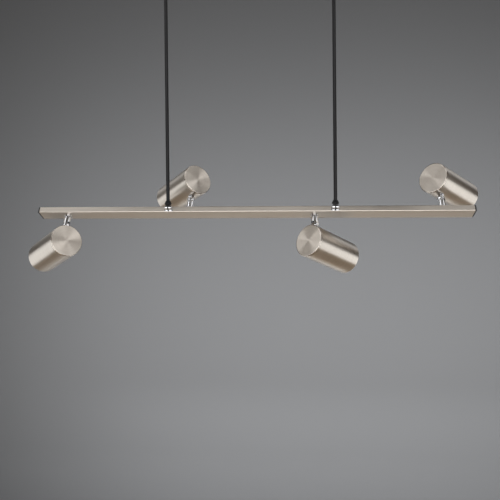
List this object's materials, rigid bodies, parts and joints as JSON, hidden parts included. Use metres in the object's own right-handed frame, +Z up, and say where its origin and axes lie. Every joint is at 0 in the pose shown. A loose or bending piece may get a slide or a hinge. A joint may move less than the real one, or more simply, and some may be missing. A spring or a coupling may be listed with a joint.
{
  "type": "track lighting fixture",
  "caption": "Ceiling spotlight bar: a flat tube tilted on two rigid stems, with cylindrical spot heads that pan and tilt on chrome swivels.",
  "frame": {"origin": "middle of the mounting plate's top face, which lies against the ceiling", "axes": "+Z up out of the ceiling face, +X along the bar; the spot heads aim towards +Y"},
  "size_m": [0.8739, 0.1821, 0.575],
  "materials": {
    "brushed_nickel": "satin brushed nickel plate",
    "polished_chrome": "polished chrome plate",
    "black_metal": "semi-gloss black lacquer",
    "black_plastic": "gloss black moulding",
    "zinc_steel": "bright zinc plate",
    "white_ceramic": "unglazed white ceramic",
    "lamp_glass": "clear pressed lens",
    "lamp_reflector": "aluminised glass bowl",
    "lead_sheath": "grey silicone sheath"
  },
  "bodies": {
    "canopy_and_stems": {"mounting_plate": "zinc_steel", "canopy_shell": "brushed_nickel", "canopy_screw_left": "polished_chrome", "canopy_screw_right": "polished_chrome", "terminal_block": "white_ceramic", "stem_left": "black_metal", "stem_right": "black_metal", "stem_cone_left": "black_metal", "stem_cone_right": "black_metal", "stem_collar_left": "black_metal", "stem_collar_right": "black_metal", "stem_nut_left": "zinc_steel", "stem_nut_right": "zinc_steel", "supply_lead": "lead_sheath"},
    "bar": {"bar_tube": "brushed_nickel", "bar_wire": "lead_sheath", "end_cap_left": "black_plastic", "end_cap_right": "black_plastic", "fork_left": "polished_chrome", "fork_right": "polished_chrome", "fork_pin_left": "polished_chrome", "fork_pin_right": "polished_chrome", "head_1_swivel_base": "polished_chrome", "head_2_swivel_base": "polished_chrome", "head_3_swivel_base": "polished_chrome", "head_4_swivel_base": "polished_chrome"},
    "head_1_swivel": {"head_1_post": "polished_chrome", "head_1_tilt_pin": "polished_chrome"},
    "head_1": {"head_1_lug": "polished_chrome", "head_1_shell": "brushed_nickel", "head_1_rear_cap": "brushed_nickel", "head_1_lampholder": "white_ceramic", "head_1_lamp_body": "lamp_reflector", "head_1_lamp_lens": "lamp_glass"},
    "head_2_swivel": {"head_2_post": "polished_chrome", "head_2_tilt_pin": "polished_chrome"},
    "head_2": {"head_2_lug": "polished_chrome", "head_2_shell": "brushed_nickel", "head_2_rear_cap": "brushed_nickel", "head_2_lampholder": "white_ceramic", "head_2_lamp_body": "lamp_reflector", "head_2_lamp_lens": "lamp_glass"},
    "head_3_swivel": {"head_3_post": "polished_chrome", "head_3_tilt_pin": "polished_chrome"},
    "head_3": {"head_3_lug": "polished_chrome", "head_3_shell": "brushed_nickel", "head_3_rear_cap": "brushed_nickel", "head_3_lampholder": "white_ceramic", "head_3_lamp_body": "lamp_reflector", "head_3_lamp_lens": "lamp_glass"},
    "head_4_swivel": {"head_4_post": "polished_chrome", "head_4_tilt_pin": "polished_chrome"},
    "head_4": {"head_4_lug": "polished_chrome", "head_4_shell": "brushed_nickel", "head_4_rear_cap": "brushed_nickel", "head_4_lampholder": "white_ceramic", "head_4_lamp_body": "lamp_reflector", "head_4_lamp_lens": "lamp_glass"}
  },
  "joints": [
    {"name": "bar_tilt", "type": "hinge", "parent": "canopy_and_stems", "child": "bar", "pos_m": [0, 0, -0.448], "axis": [1, 0, 0], "range_deg": [-58, 12]},
    {"name": "head_1_pan", "type": "hinge", "parent": "bar", "child": "head_1_swivel", "pos_m": [-0.354, 0.01395, -0.46379], "axis": [0, -0.5299, -0.848], "range_deg": [-126, 214]},
    {"name": "head_1_tilt", "type": "hinge", "parent": "head_1_swivel", "child": "head_1", "pos_m": [-0.354, 0.00266, -0.48186], "axis": [-0.7193, -0.5891, 0.3681], "range_deg": [-15, 85]},
    {"name": "head_2_pan", "type": "hinge", "parent": "bar", "child": "head_2_swivel", "pos_m": [-0.118, 0.02031, -0.45362], "axis": [0, 0.5299, 0.848], "range_deg": [-211, 53]},
    {"name": "head_2_tilt", "type": "hinge", "parent": "head_2_swivel", "child": "head_2", "pos_m": [-0.118, 0.0316, -0.43555], "axis": [0.749, 0.5619, -0.3511], "range_deg": [-15, 85]},
    {"name": "head_3_pan", "type": "hinge", "parent": "bar", "child": "head_3_swivel", "pos_m": [0.118, 0.01395, -0.46379], "axis": [0, -0.5299, -0.848], "range_deg": [-213, 127]},
    {"name": "head_3_tilt", "type": "hinge", "parent": "head_3_swivel", "child": "head_3", "pos_m": [0.118, 0.00266, -0.48186], "axis": [-0.7314, 0.5784, -0.3614], "range_deg": [-15, 85]},
    {"name": "head_4_pan", "type": "hinge", "parent": "bar", "child": "head_4_swivel", "pos_m": [0.354, 0.02031, -0.45362], "axis": [0, 0.5299, 0.848], "range_deg": [-124, 215]},
    {"name": "head_4_tilt", "type": "hinge", "parent": "head_4_swivel", "child": "head_4", "pos_m": [0.354, 0.0316, -0.43555], "axis": [0.7009, -0.6049, 0.378], "range_deg": [-15, 85]}
  ]
}
